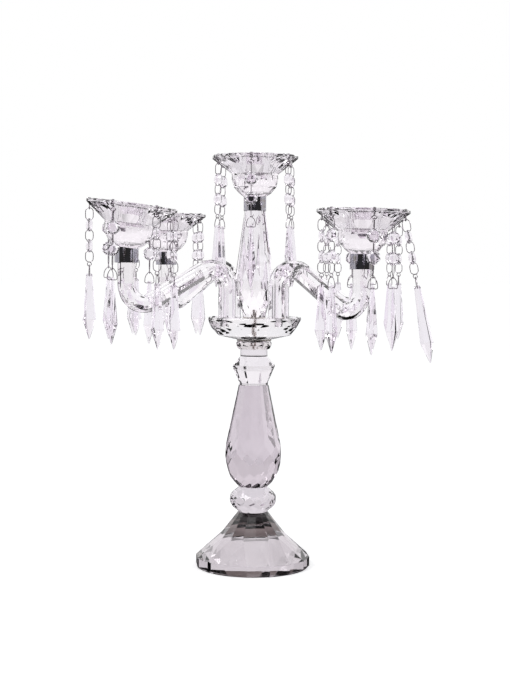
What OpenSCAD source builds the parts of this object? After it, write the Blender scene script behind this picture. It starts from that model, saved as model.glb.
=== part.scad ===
// Five-light crystal candelabrum: a stacked glass stem, a hub dish with four swan-neck arms,
// five flanged candle cups on bright metal collars, and six chained pendants hanging from each cup.
// Millimetres, +Z up, origin at the centre of the foot's underside, arms on the diagonals.

/* [Foot] */
// Diameter across the corners of the foot's rim
foot_d = 119; // [100:1:150]
// Height of the foot
foot_h = 57; // [44:0.1:80]
// Height of the upright band round the foot's rim
foot_band_h = 10.5; // [5:0.5:15]
// Diameter across the corners of the ridge between the foot's two cones
foot_ridge_d = 67; // [52:1:84]
// Height of that ridge
foot_ridge_h = 34; // [22:0.5:40]
// Diameter of the foot's flat top
foot_top_d = 31; // [26:1:44]
// Number of facets round the foot
foot_sides = 16; // [10:2:24]

/* [Stem] */
// Diameter of the lower knop at its girdle
knop_d = 48.5; // [40:0.5:60]
// Height of the lower knop
knop_h = 26.4; // [20:0.1:35]
// Diameter of the main baluster at its widest
baluster_d = 59; // [48:0.5:72]
// Height of the main baluster
baluster_h = 106.2; // [90:0.1:135]
// Diameter of the stem where one glass piece meets the next
joint_d = 31; // [24:0.5:36]
// Diameter of the two-cone knop at its girdle
bicone_d = 45.5; // [38:0.5:55]
// Height of the two-cone knop
bicone_h = 29.9; // [24:0.1:38]
// Diameter of the short plain neck
neck_d = 28; // [22:0.5:30]
// Height of the short plain neck
neck_h = 7.2; // [5:0.1:12]
// Diameter of the scalloped ring at its edge
scallop_d = 38; // [32:0.5:48]
// Height of the scalloped ring
scallop_h = 8.9; // [6:0.1:14]
// Number of facets round the baluster, knop and scalloped ring
stem_sides = 12; // [8:2:16]

/* [Hub] */
// Diameter of the hub dish at its rim
dish_d = 98; // [92:1:120]
// Height of the hub dish
dish_h = 23; // [18:0.5:30]
// Depth of the flat recess in the top of the dish
dish_recess = 1.5; // [1:0.1:3]
// Diameter of the two metal washers
washer_d = 36; // [30:0.5:37]
// Thickness of the washer under the dish
washer_t = 1.5; // [1:0.1:2.5]
// Thickness of the washer under the upper baluster
top_washer_t = 1.2; // [0.8:0.1:2]
// Diameter of the metal stud through the hub
hub_stud_d = 4; // [3:0.5:8]
// Diameter of the upper baluster at its widest
upper_d = 41; // [34:0.5:48]
// Height of the upper baluster
upper_h = 109.8; // [90:0.1:135]
// Number of facets round the upper baluster
upper_sides = 8; // [6:2:12]

/* [Arms] */
// Distance from the stem's axis to an arm's upright leg
leg_r = 36; // [34.5:0.5:40]
// Distance from an arm's leg to its candle cup, both upright
arm_reach = 120; // [105:1:140]
// Thickness of the arm's glass rod across its corners
rod_d = 17.8; // [15:0.1:19]
// Number of long facets round the glass rod
rod_sides = 12; // [8:2:12]
// Radius of the arch at the top of the leg, to the middle of the rod
arch_r = 21; // [17:0.5:25]
// Height of the arch's centre above the floor of the dish
arch_rise = 30.4; // [24:0.1:40]
// Radius of the bend under the candle cup, to the middle of the rod
bend_r = 20; // [16:0.5:24]
// Height of the lower bend's centre above the floor of the dish
bend_rise = 31.4; // [26:0.1:45]
// Height of the collar's underside above the lower bend's centre
stem_rise = 20; // [12:0.5:30]
// Diameter of the peg that turns in the dish
peg_d = 8; // [6:0.5:14]
// Length of the peg below the rod's shoulder
peg_l = 6; // [5:0.5:12]
// Gap round the peg in its socket, on the radius
peg_gap = 0.05; // [0.02:0.01:0.1]

/* [Candle cups] */
// Diameter of a cup's flange
cup_d = 89; // [80:1:98]
// Height of a cup above its collar
cup_h = 42; // [36:0.5:50]
// Diameter of the bowl under the flange
bowl_d = 48.5; // [44:0.5:56]
// Thickness of the flange at its edge
flange_t = 3; // [2:0.5:4]
// Height of the bowl's shoulder, where the flange begins, above the collar
shoulder_h = 23.5; // [20:0.5:28]
// Depth of the shallow drip tray in the flange's top
tray_depth = 1.5; // [1:0.1:2]
// Diameter of the candle well
well_d = 22.5; // [20:0.5:24]
// Depth of the candle well, from the floor of the drip tray
well_depth = 20; // [15:0.5:24]
// Number of facets round a cup
cup_sides = 16; // [12:2:20]
// Outer diameter of a bright metal collar
collar_d = 23.4; // [21:0.1:25]
// Height of a collar
collar_h = 14.5; // [12:0.5:18]
// Step from the rod's corners in to the glass spigot that stands in the collar from below
tenon_step = 1.2; // [0.9:0.1:2]
// Diameter of the cup's boss that stands in the collar from above
boss_d = 17.6; // [15:0.1:18.5]
// Gap between a collar and the glass in it, on the radius
collar_gap = 0.05; // [0.02:0.01:0.1]
// Thickness of the web across the middle of a collar
web_t = 2; // [1.5:0.5:3]
// Diameter of the stud that screws into the cup's boss
cup_stud_d = 4; // [3:0.5:5]

/* [Pendants] */
// Number of pendants on each cup
pendants = 6; // [6]
// Distance from the corners of the flange in to the middle of a hook hole
hook_inset = 3.4; // [3.2:0.1:6]
// Diameter of the hook holes in the flange
hook_hole_d = 2.6; // [1.8:0.1:3]
// Thickness of the wire
wire_t = 0.9; // [0.6:0.1:1.1]
// Drop from the flange's top to the wire that a pendant hangs on
hook_drop = 10.3; // [9.5:0.1:13]
// Diameter of the eight-sided beads
bead_d = 12.7; // [10:0.1:15]
// Thickness of the beads at the middle
bead_t = 6; // [4:0.1:8]
// Distance from the edge of a bead to its hole's centre
bead_hole_inset = 1.7; // [1.4:0.1:2]
// Drop from the flange's top to the middle of the upper bead
upper_bead_drop = 25.5; // [24:0.1:30]
// Distance between the middles of the two beads
bead_pitch = 19.9; // [17:0.1:24]
// Width of the wire links
link_w = 8.4; // [7:0.1:10]
// Distance from the lower bead's middle to the end of the link under it
last_link_drop = 15.6; // [11:0.1:18]
// Width and height of the small eye under the last link
eye_w = 4.7; // [4.4:0.1:6]
// Width of the spear's wire bail
bail_w = 11; // [8:0.1:13]
// Height of the spear's wire bail
bail_h = 11.3; // [9:0.1:17]
// Length of the spear
spear_l = 63; // [50:1:80]
// Width of the spear at its widest
spear_w = 13; // [9:0.1:15]
// Thickness of the spear at its widest
spear_t = 10.5; // [5:0.1:12]
// Width of the spear's top
spear_top_w = 6; // [5:0.1:9]

/* [As photographed] */
// Turn of the front right arm on its peg, anticlockwise
front_right_turn = 1.6; // [-4:0.1:4]
// Turn of the front left arm on its peg, anticlockwise
front_left_turn = -2.5; // [-4:0.1:4]
// Extra height of the front left arm
front_left_rise = 5; // [0:0.5:8]
// Extra height of the back left arm
back_left_rise = 4; // [0:0.5:8]
// Extra height of the back right arm
back_right_rise = 1; // [0:0.5:8]
// Lean of the front left cup on its collar
front_left_lean = 7.2; // [0:0.1:8]
// Lean of the front right cup on its collar
front_right_lean = 1; // [0:0.1:8]
// Direction in which those cups lean
lean_direction = 5; // [-45:1:45]
// Outward swing of the outermost pendant on the front right cup
outer_swing = 11; // [0:0.5:14]
// Length of that pendant's spear
outer_spear_l = 73; // [50:1:80]
// Turn of each chain about its own length, on the centre cup
centre_turns = [5, -7, 8, 10, -7, 13]; // [-60:1:60]
// The same on the front right cup
front_right_turns = [20, 30, -10, 20, 0, -10]; // [-60:1:60]
// The same on the back right cup
back_right_turns = [20, 50, -10, 20, 5, -10]; // [-60:1:60]
// The same on the back left cup
back_left_turns = [20, -40, 50, -15, 0, -10]; // [-60:1:60]
// The same on the front left cup
front_left_turns = [20, 40, -10, 20, -40, -8]; // [-60:1:60]

/* [Hidden] */
$fn = 64;
COUNT_ARMS = 4;

// Heights of the joints up the stem
knop_z = foot_h;
baluster_z = knop_z + knop_h;
bicone_z = baluster_z + baluster_h;
neck_z = bicone_z + bicone_h;
scallop_z = neck_z + neck_h;
washer_z = scallop_z + scallop_h;
dish_z = washer_z + washer_t;
floor_z = dish_z + dish_h - dish_recess;
upper_z = floor_z + top_washer_t;
centre_collar_z = upper_z + upper_h;

// The stud runs from the scalloped ring up into the upper baluster
stud_end = 9;
stud_seat = 6;
stud_gap = 0.05;
stud_z = washer_z - stud_seat;
stud_l = upper_z + stud_end - stud_z;

// The collar holds the glass spigot below its web and the cup's boss above it
tenon_d = rod_d - 2 * tenon_step;
tenon_l = (collar_h - web_t) / 2 - 0.1;
boss_l = (collar_h - web_t) / 2 - 0.1;
cup_stud_l = boss_l - 1;
cup_stud_hole_l = cup_stud_l + 0.6;
tray_r = cup_d / 2 - 3;
hook_r = cup_d / 2 - hook_inset;
tray_z = cup_h - tray_depth;

// Pendant drops, from the flange's top
bead_hole_r = bead_d / 2 - bead_hole_inset;
lower_bead_drop = upper_bead_drop + bead_pitch;
link_end_drop = lower_bead_drop + last_link_drop;
link_gap = 0.3;
bail_top_drop = link_end_drop + eye_w - 2 * wire_t - link_gap;
spear_hole_drop = bail_top_drop + bail_h - wire_t;
spear_hole_inset = 1.9;
spear_hole_d = 1.9;
bead_hole_d = 1.9;
wire_corner = 0.8;
link_corner = 2;
hook_w = 6.4;
hook_h = 4.1;
hook_bar_d = wire_t - 0.06;
hook_bar_lap = 0.2;
bail_top_w = 2;
hook_head_d = 3.6;
hook_head_t = 0.8;
hook_head_gap = 0.02;
rod_lap = 0.4;

GLASS = [0.90, 0.89, 0.93, 0.45];
CHROME = [0.62, 0.63, 0.66];
WIRE = [0.45, 0.44, 0.46];

// Arms run anticlockwise from the front right one: azimuth, turn, extra height and cup's lean of each
arm_azimuth = [for (arm = [0:COUNT_ARMS - 1]) -45 + 90 * arm];
arm_turn = [front_right_turn, 0, 0, front_left_turn];
arm_extra = [0, back_right_rise, back_left_rise, front_left_rise];
arm_lean = [front_right_lean, 0, 0, front_left_lean];

chain_turns = [centre_turns, front_right_turns, back_right_turns, back_left_turns, front_left_turns];
function chain_turn(cup, i) = chain_turns[cup][(i - 1) % len(chain_turns[cup])];
function chain_spear_l(cup, i) = cup == 1 && i == 1 ? outer_spear_l : spear_l;
// A pendant beside an arm's arch rests a little away from it
side_lean = 2;
function chain_side_lean(cup, i) =
    cup > 0 ? 0.8 * sin(211 * i + 97 * cup) :
    i == 2 ? side_lean : i == 3 ? -side_lean : i == 5 ? side_lean : i == 6 ? -side_lean : 0;
function chain_swing(cup, i) = cup == 1 && i == 1 ? outer_swing : 0;

// Holders are the five places where a collar stands: 0 is the centre, 1 to 4 are the arms
function holder_azimuth(cup) = cup == 0 ? 0 : arm_azimuth[cup - 1];
function holder_turn(cup) = cup == 0 ? 0 : arm_turn[cup - 1];
function holder_extra(cup) = cup == 0 ? 0 : arm_extra[cup - 1];
function holder_lean(cup) = cup == 0 ? 0 : arm_lean[cup - 1];
function holder_base(cup) = cup == 0 ? [0, 0, centre_collar_z] :
    let (a = holder_azimuth(cup), b = a + holder_turn(cup))
    [leg_r * cos(a) + arm_reach * cos(b), leg_r * sin(a) + arm_reach * sin(b),
        floor_z + bend_rise + stem_rise + holder_extra(cup)];

// A point of a cup, tipped about the middle of its seat on the collar
function tipped(p, lean, toward) =
    let (along = [cos(toward), sin(toward), 0], level = [p.x, p.y, 0])
    let (reach = level * along)
    level + along * (reach * (cos(lean) - 1) + p.z * sin(lean)) + [0, 0, p.z * cos(lean) - reach * sin(lean)];

// Hook holes stand at 30 degrees to the arm's own line, clear of the rod below
function hook_azimuth(cup, i) = cup == 0 ? -90 + 60 * (i - 1) : holder_azimuth(cup) + 30 + 60 * (i - 1);
function hook_top(cup, i) =
    let (a = hook_azimuth(cup, i))
    holder_base(cup) + [0, 0, collar_h]
        + tipped([hook_r * cos(a), hook_r * sin(a), cup_h], holder_lean(cup), lean_direction);

// Points of one level ring of a faceted body: radius, height and turn, in facet steps
function ring_points(ring, sides) =
    [for (i = [0:sides - 1])
        let (a = 360 * (i + ring[2]) / sides)
        [ring[0] * cos(a), ring[0] * sin(a), ring[1]]];

// Faces of the band between ring k and the next: flat panes, or triangles where the rings are out of step
function band_faces(k, low_turn, high_turn, sides) =
    [for (i = [0:sides - 1])
        let (j = (i + 1) % sides, a = k * sides, b = (k + 1) * sides)
        each (low_turn == high_turn ? [[a + i, b + i, b + j, a + j]] :
            low_turn < high_turn ? [[a + i, b + i, a + j], [a + j, b + i, b + j]] :
            [[a + i, b + i, b + j], [a + i, b + j, a + j]])];

// A closed body of cut facets through level rings, from the bottom up
module faceted(rings, sides) {
    last = len(rings) - 1;
    polyhedron(
        points = [for (ring = rings) each ring_points(ring, sides)],
        faces = [
            [for (i = [0:sides - 1]) i],
            for (k = [0:last - 1]) each band_faces(k, rings[k][2], rings[k + 1][2], sides),
            [for (i = [sides - 1:-1:0]) last * sides + i]
        ]
    );
}

module hub_stud_hole() {
    translate([0, 0, stud_z]) cylinder(r = hub_stud_d / 2 + stud_gap, h = stud_l);
}

module foot() {
    rim_r = foot_d / 2;
    top_r = foot_top_d / 2;
    color(GLASS) faceted([
        [rim_r - 1.2, 0, 0],
        [rim_r, 1.5, 0],
        [rim_r, foot_band_h, 0],
        [foot_ridge_d / 2, foot_ridge_h, 0.5],
        [top_r, foot_h, 0.5]
    ], foot_sides);
}

module lower_knop() {
    girdle_r = knop_d / 2;
    end_r = joint_d / 2;
    color(GLASS) translate([0, 0, knop_z]) faceted([
        [end_r, 0, 0],
        [girdle_r * 0.85, knop_h * 0.2, 0.5],
        [girdle_r, knop_h * 0.47, 0],
        [girdle_r * 0.9, knop_h * 0.78, 0.5],
        [end_r, knop_h, 0]
    ], stem_sides);
}

module main_baluster() {
    wide_r = baluster_d / 2;
    end_r = joint_d / 2;
    color(GLASS) translate([0, 0, baluster_z]) faceted([
        [end_r, 0, 0],
        [wide_r * 0.66, baluster_h * 0.04, 0.5],
        [wide_r * 0.86, baluster_h * 0.11, 0],
        [wide_r * 0.97, baluster_h * 0.2, 0.5],
        [wide_r, baluster_h * 0.31, 0],
        [wide_r * 0.96, baluster_h * 0.43, 0.5],
        [end_r, baluster_h, 0.5]
    ], stem_sides);
}

module bicone_knop() {
    girdle_r = bicone_d / 2;
    end_r = joint_d / 2;
    color(GLASS) translate([0, 0, bicone_z]) faceted([
        [end_r, 0, 0.5],
        [end_r, bicone_h * 0.08, 0.5],
        [girdle_r, bicone_h * 0.62, 0.5],
        [girdle_r, bicone_h * 0.69, 0.5],
        [neck_d / 2 + 0.6, bicone_h, 0.5]
    ], 8);
}

module neck_collar() {
    color(GLASS) translate([0, 0, neck_z]) cylinder(d = neck_d, h = neck_h);
}

module scalloped_ring() {
    edge_r = scallop_d / 2;
    color(GLASS) difference() {
        translate([0, 0, scallop_z]) faceted([
            [edge_r * 0.8, 0, 0],
            [edge_r * 0.97, scallop_h * 0.3, 0],
            [edge_r, scallop_h * 0.55, 0.5],
            [edge_r * 0.94, scallop_h * 0.85, 0],
            [edge_r * 0.86, scallop_h, 0]
        ], stem_sides);
        hub_stud_hole();
    }
}

module dish_washer() {
    color(CHROME) difference() {
        translate([0, 0, washer_z]) cylinder(d = washer_d, h = washer_t);
        hub_stud_hole();
    }
}

module hub_dish() {
    rim_r = dish_d / 2;
    recess_r = rim_r * cos(180 / 16) - 2.6;
    color(GLASS) difference() {
        translate([0, 0, dish_z]) faceted([
            [washer_d / 2 + 1, 0, 0],
            [rim_r * 0.77, dish_h * 0.18, 0],
            [rim_r * 0.91, dish_h * 0.53, 0.5],
            [rim_r, dish_h * 0.92, 0],
            [rim_r - 0.6, dish_h, 0]
        ], 16);
        translate([0, 0, floor_z]) cylinder(r = recess_r, h = dish_recess + 1);
        for (a = arm_azimuth)
            rotate([0, 0, a])
                translate([leg_r, 0, floor_z - peg_l - 0.2])
                    cylinder(r = peg_d / 2 + peg_gap, h = peg_l + 1);
        hub_stud_hole();
    }
}

module hub_stud() {
    color(CHROME) translate([0, 0, stud_z + 0.2]) cylinder(d = hub_stud_d, h = stud_l - 0.4);
}

module baluster_washer() {
    color(CHROME) difference() {
        translate([0, 0, floor_z]) cylinder(d = washer_d * 0.66, h = top_washer_t);
        hub_stud_hole();
    }
}

module upper_baluster() {
    wide_r = upper_d / 2;
    top_r = 10.6;
    color(GLASS) difference() {
        union() {
            translate([0, 0, upper_z]) faceted([
                [11.4, 0, 0],
                [wide_r * 0.74, upper_h * 0.11, 0.5],
                [wide_r, upper_h * 0.27, 0],
                [wide_r, upper_h * 0.34, 0],
                [top_r, upper_h, 0]
            ], upper_sides);
            translate([0, 0, centre_collar_z]) cylinder(d = tenon_d, h = tenon_l);
        }
        hub_stud_hole();
    }
}

// Puts a piece drawn on a holder's own upright axis where that holder stands
module at_holder(cup) {
    translate(holder_base(cup)) rotate([0, 0, holder_azimuth(cup)]) children();
}

// Puts a piece drawn from the cup's seat upwards where the cup stands, with its lean
module at_seat(cup) {
    translate(holder_base(cup) + [0, 0, collar_h])
        rotate([0, 0, lean_direction])
            rotate([0, holder_lean(cup), 0])
                rotate([0, 0, holder_azimuth(cup) - lean_direction])
                    children();
}

// The collar stands upright; its top and upper bore take the cup's lean
module collar(cup) {
    half_h = (collar_h - web_t) / 2;
    lean_rise = collar_d / 2 * tan(holder_lean(cup));
    color(CHROME) {
        difference() {
            at_holder(cup) cylinder(d = collar_d, h = collar_h + lean_rise + 1);
            at_holder(cup) translate([0, 0, -1]) cylinder(r = tenon_d / 2 + collar_gap, h = half_h + 1);
            at_seat(cup) cylinder(r = collar_d, h = collar_h);
            at_seat(cup) translate([0, 0, -half_h]) cylinder(r = boss_d / 2 + collar_gap, h = half_h + 1);
        }
        at_seat(cup) translate([0, 0, -half_h]) cylinder(d = cup_stud_d, h = cup_stud_l);
    }
}

module candle_cup(cup) {
    bowl_r = bowl_d / 2;
    flange_r = cup_d / 2;
    tray_rim_r = tray_r * cos(180 / cup_sides);
    color(GLASS) at_seat(cup) difference() {
        union() {
            faceted([
                [11.6, 0, 0],
                [bowl_r * 0.7, shoulder_h * 0.17, 0.5],
                [bowl_r * 0.91, shoulder_h * 0.43, 0],
                [bowl_r, shoulder_h * 0.78, 0.5],
                [bowl_r, shoulder_h, 0.5],
                [flange_r, cup_h - flange_t, 0],
                [flange_r, cup_h - 0.8, 0],
                [flange_r - 0.8, cup_h, 0]
            ], cup_sides);
            translate([0, 0, -boss_l]) cylinder(d = boss_d, h = boss_l);
        }
        translate([0, 0, tray_z]) cylinder(r1 = tray_rim_r - 6, r2 = tray_rim_r, h = tray_depth + 0.01);
        translate([0, 0, tray_z - well_depth]) cylinder(d = well_d, h = well_depth + 1);
        translate([0, 0, -boss_l - 1]) cylinder(r = cup_stud_d / 2 + collar_gap, h = cup_stud_hole_l + 1);
        for (i = [1:pendants])
            rotate([0, 0, hook_azimuth(cup, i) - holder_azimuth(cup)])
                translate([hook_r, 0, shoulder_h]) cylinder(d = hook_hole_d, h = cup_h, $fn = 24);
    }
}

// A flat loop of wire, standing in the XZ plane, from its top edge down; sizes are to the wire's middle,
// the shoulder is how far below the top the loop reaches its full width, and the corner its bottom chamfer
module wire_loop(w, h, top_w, shoulder, corner) {
    outline = [[top_w / 2, 0, 0], [w / 2, -shoulder, 1], [w / 2, corner - h, 1], [w / 2 - corner, -h, 0]];
    function spread(p, by) = p[2] == 1 ?
        [p.x + by, p.y + by * tan(22.5) * sign(p.y + h / 2)] :
        [p.x + by * tan(22.5), p.y + by * sign(p.y + h / 2)];
    function both_sides(by) = [
        for (p = outline) spread(p, by),
        for (k = [len(outline) - 1:-1:0]) let (q = spread(outline[k], by)) [-q.x, q.y]
    ];
    rotate([90, 0, 0]) translate([0, 0, -wire_t / 2]) linear_extrude(height = wire_t) difference() {
        polygon(both_sides(wire_t / 2));
        polygon(both_sides(-wire_t / 2));
    }
}

// A loop with the same chamfer at all four corners
module even_loop(w, h, corner) {
    wire_loop(w, h, w - 2 * corner, corner, corner);
}

// The fixed hook: a head on the flange, a shank down through the hole and an eye whose round bottom bar
// carries the pendant.
// It hangs plumb, so on a leaning flange the head rests on its higher edge
module hook(lean) {
    eye_top = hook_drop - hook_h + wire_t;
    head_z = hook_head_gap + hook_head_d / 2 * sin(lean);
    translate([0, 0, head_z]) cylinder(d = hook_head_d, h = hook_head_t, $fn = 8);
    translate([0, 0, -eye_top]) cylinder(d = wire_t, h = eye_top + head_z + 0.1, $fn = 8);
    rotate([0, 0, 90]) difference() {
        translate([0, 0, -eye_top]) even_loop(hook_w - wire_t, hook_h + wire_t, wire_corner);
        translate([-hook_w, -hook_w, -hook_drop - hook_h]) cube([2 * hook_w, 2 * hook_w, hook_h]);
    }
    translate([0, hook_bar_lap - hook_w / 2, -hook_drop]) rotate([-90, 0, 0])
        cylinder(d = hook_bar_d, h = hook_w - 2 * hook_bar_lap, $fn = 32);
}

module hooks(cup) {
    color(WIRE) for (i = [1:pendants])
        translate(hook_top(cup, i)) rotate([0, 0, hook_azimuth(cup, i)]) hook(holder_lean(cup));
}

// An eight-sided cut bead, standing in the XZ plane with its flat face along Y
module bead() {
    outer_r = bead_d / 2 / cos(22.5);
    color(GLASS) difference() {
        rotate([90, 0, 0]) translate([0, 0, -bead_t / 2]) faceted([
            [outer_r * 0.52, 0, 0],
            [outer_r, bead_t / 2 - 0.45, 0.5],
            [outer_r, bead_t / 2 + 0.45, 0.5],
            [outer_r * 0.52, bead_t, 0]
        ], 8);
        for (side = [-1, 1])
            translate([0, bead_t / 2, side * bead_hole_r])
                rotate([90, 0, 0]) cylinder(d = bead_hole_d, h = bead_t, $fn = 8);
    }
}

// A long cut spear, hanging from its hole, with its broad face along Y
module spear(l) {
    top_t = 3.2;
    point_l = 19;
    sections = [
        [spear_top_w, top_t, 0],
        [spear_w, spear_t, l - point_l],
        [1, 0.8, l]
    ];
    function section(s) = let (w = s[0] / 2, t = s[1] / 2, z = -s[2])
        [[w, 0, z], [w * 0.5, t, z], [-w * 0.5, t, z], [-w, 0, z], [-w * 0.5, -t, z], [w * 0.5, -t, z]];
    sides = 6;
    last = len(sections) - 1;
    color(GLASS) translate([0, 0, spear_hole_inset]) difference() {
        polyhedron(
            points = [for (s = sections) each section(s)],
            faces = [
                [for (i = [sides - 1:-1:0]) i],
                for (k = [0:last - 1]) for (i = [0:sides - 1])
                    let (j = (i + 1) % sides, a = k * sides, b = (k + 1) * sides)
                    each [[a + i, a + j, b + i], [a + j, b + j, b + i]],
                [for (i = [0:sides - 1]) last * sides + i]
            ]
        );
        translate([0, spear_t, -spear_hole_inset])
            rotate([90, 0, 0]) cylinder(d = spear_hole_d, h = 2 * spear_t, $fn = 8);
    }
}

// One pendant: links, two beads, an eye, a bail and a spear, hanging from its hook. Each link's plane
// passes through the beads' holes, and the bail stands across the last link's eye
module pendant(cup, i) {
    hang = hook_drop;
    link_top = hang - wire_t - link_gap;
    turn = chain_turn(cup, i);
    translate(hook_top(cup, i)) rotate([0, 0, hook_azimuth(cup, i)])
        translate([0, 0, -hang])
            rotate([chain_side_lean(cup, i), -chain_swing(cup, i), 0])
                rotate([0, 0, turn]) translate([0, 0, hang]) {
                    color(WIRE) {
                        chain_link(link_top, upper_bead_drop - bead_hole_r);
                        chain_link(upper_bead_drop + bead_hole_r, lower_bead_drop - bead_hole_r);
                        chain_link(lower_bead_drop + bead_hole_r, link_end_drop);
                        translate([0, 0, -link_end_drop]) even_loop(eye_w - wire_t, eye_w - wire_t, wire_corner);
                        translate([0, 0, -bail_top_drop]) rotate([0, 0, 90])
                            wire_loop(bail_w - wire_t, bail_h - wire_t, bail_top_w, bail_h * 0.6, wire_corner);
                    }
                    translate([0, 0, -upper_bead_drop]) rotate([0, 0, 90]) bead();
                    translate([0, 0, -lower_bead_drop]) rotate([0, 0, 90]) bead();
                    translate([0, 0, -spear_hole_drop]) spear(chain_spear_l(cup, i));
                }
}

// A link between two drops, to the wire's middle at each end
module chain_link(from, to) {
    translate([0, 0, -from]) even_loop(link_w - wire_t, to - from, link_corner);
}

// The rod's outline, a many-sided polygon with a flat to each side
module rod_outline(d) {
    rotate([0, 0, 180 / rod_sides]) circle(d = d, $fn = rod_sides);
}

// A straight length, a hair thinner than the bends that its ends run on into
module straight_rod(l) {
    translate([0, 0, -rod_lap]) linear_extrude(height = l + 2 * rod_lap) rod_outline(rod_d - 0.06);
}

// A bend of the rod about the Y axis, from one angle to another in the XZ plane
module bent_rod(r, from, to) {
    rotate([90, 0, 0]) rotate([0, 0, from]) rotate_extrude(angle = to - from, $fn = 96)
        translate([r, 0]) rod_outline(rod_d);
}

// One swan-neck arm: peg, leg, arch, slanting run, bend and stem, with a spigot for the collar
module arm(cup) {
    extra = holder_extra(cup);
    arch = [arch_r, arch_rise];
    bend = [arm_reach - bend_r, bend_rise + extra];
    apart = bend - arch;
    span = norm(apart);
    slope = asin((arch_r + bend_r) / span) - atan2(apart.y, apart.x);
    run = sqrt(span * span - (arch_r + bend_r) * (arch_r + bend_r));
    run_start = arch + arch_r * [sin(slope), cos(slope)];
    color(GLASS) {
        difference() {
            rotate([0, 0, holder_azimuth(cup)]) translate([leg_r, 0, floor_z]) rotate([0, 0, holder_turn(cup)]) {
                translate([0, 0, rod_lap]) straight_rod(arch_rise - rod_lap);
                translate([arch.x, 0, arch.y]) bent_rod(arch_r, 90 - slope, 180);
                translate([run_start.x, 0, run_start.y]) rotate([0, 90 + slope, 0]) straight_rod(run);
                translate([bend.x, 0, bend.y]) bent_rod(bend_r, -90 - slope, 0);
                translate([arm_reach, 0, bend.y]) straight_rod(stem_rise + 4);
            }
            at_holder(cup) cylinder(r = rod_d, h = 20);
        }
        at_holder(cup) translate([0, 0, -1]) cylinder(d = tenon_d, h = tenon_l + 1);
        rotate([0, 0, holder_azimuth(cup)]) translate([leg_r, 0, floor_z - peg_l])
            cylinder(d = peg_d, h = peg_l + 1);
    }
}

foot();
lower_knop();
main_baluster();
bicone_knop();
neck_collar();
scalloped_ring();
dish_washer();
hub_dish();
hub_stud();
baluster_washer();
upper_baluster();
collar(0);  // centre_collar
candle_cup(0);  // centre_cup
hooks(0);  // centre_hooks
for (cup = [1:COUNT_ARMS]) {
    arm(cup);
    collar(cup);
    candle_cup(cup);
    hooks(cup);
}
for (i = [1:pendants]) {
    pendant(0, i);
    for (cup = [1:COUNT_ARMS])
        pendant(cup, i);
}
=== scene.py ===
"""Looks for a cut glass candelabrum with hanging pendants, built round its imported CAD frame.

Sizes are written in millimetres and meshes are scaled to metres last. The frame is the CAD part's own:
+Z up, the foot's underside at z = 0 and the arms on the diagonals.
"""

import logging
import math
from dataclasses import dataclass, field
from enum import Enum
from typing import Callable, Iterable, Sequence

import bmesh
import bpy
from bmesh.types import BMEdge, BMesh, BMFace, BMVert
from mathutils import Matrix, Vector


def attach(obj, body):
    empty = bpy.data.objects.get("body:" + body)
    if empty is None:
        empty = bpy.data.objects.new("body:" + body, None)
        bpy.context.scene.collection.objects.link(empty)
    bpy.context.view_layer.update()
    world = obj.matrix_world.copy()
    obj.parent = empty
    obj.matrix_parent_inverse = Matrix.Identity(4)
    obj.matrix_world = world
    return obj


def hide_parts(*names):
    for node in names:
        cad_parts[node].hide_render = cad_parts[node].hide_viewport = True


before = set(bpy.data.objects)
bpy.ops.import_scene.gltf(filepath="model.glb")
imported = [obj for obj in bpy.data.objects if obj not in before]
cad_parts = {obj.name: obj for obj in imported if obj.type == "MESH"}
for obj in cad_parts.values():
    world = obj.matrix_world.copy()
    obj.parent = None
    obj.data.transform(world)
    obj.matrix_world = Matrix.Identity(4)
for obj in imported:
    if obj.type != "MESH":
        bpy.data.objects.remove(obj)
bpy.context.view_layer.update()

LOG = logging.getLogger("candelabrum")
MM = 0.001
MERGE = 0.004
UP = Vector((0.0, 0.0, 1.0))
SMOOTH_BELOW = math.radians(7.0)
BEVEL_ABOVE = math.radians(8.0)


class Slot(Enum):
    """The record's material slots."""

    CRYSTAL = "crystal"
    PENDANT = "pendant_crystal"
    COLLAR = "collar_metal"
    WIRE = "wire"


class Graph:
    """A node tree while it is being wired."""

    def __init__(self, tree: bpy.types.NodeTree) -> None:
        """Keeps the tree.

        Args:
            tree: The node tree to add to.
        """
        self.tree = tree

    def add(self, kind: str, inputs: dict[str | int, object] | None = None, **settings: object) -> bpy.types.Node:
        """Adds a node.

        Args:
            kind: The node's type name.
            inputs: Values, or sockets to link from, by input name or number.
            settings: Properties of the node.

        Returns:
            The node.
        """
        node = self.tree.nodes.new(kind)
        for name, value in settings.items():
            setattr(node, name, value)
        for key, value in (inputs or {}).items():
            self.feed(node.inputs[key], value)
        return node

    def feed(self, socket: bpy.types.NodeSocket, value: object) -> None:
        """Links a socket, or sets its value.

        Args:
            socket: The input socket.
            value: An output socket or a plain value.
        """
        if isinstance(value, bpy.types.NodeSocket):
            self.tree.links.new(value, socket)
        else:
            socket.default_value = value

    def math(self, operation: str, *values: object, clamp: bool = False) -> bpy.types.NodeSocket:
        """Adds a Math node.

        Args:
            operation: The node's operation.
            values: Its inputs in order.
            clamp: Whether the result is kept between 0 and 1.

        Returns:
            The result's socket.
        """
        node = self.add("ShaderNodeMath", dict(enumerate(values)), operation=operation, use_clamp=clamp)
        return node.outputs[0]

    def ramp(self, value: object, low: float, high: float, to_low: float = 0.0, to_high: float = 1.0) -> bpy.types.NodeSocket:
        """Maps a value smoothly from one range to another.

        Args:
            value: The value's socket.
            low: Where the ramp starts.
            high: Where it ends.
            to_low: What the start gives.
            to_high: What the end gives.

        Returns:
            The result's socket.
        """
        node = self.add("ShaderNodeMapRange", interpolation_type="SMOOTHSTEP")
        for name, number in (("Value", value), ("From Min", low), ("From Max", high), ("To Min", to_low), ("To Max", to_high)):
            self.feed(node.inputs[name], number)
        return node.outputs["Result"]


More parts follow.
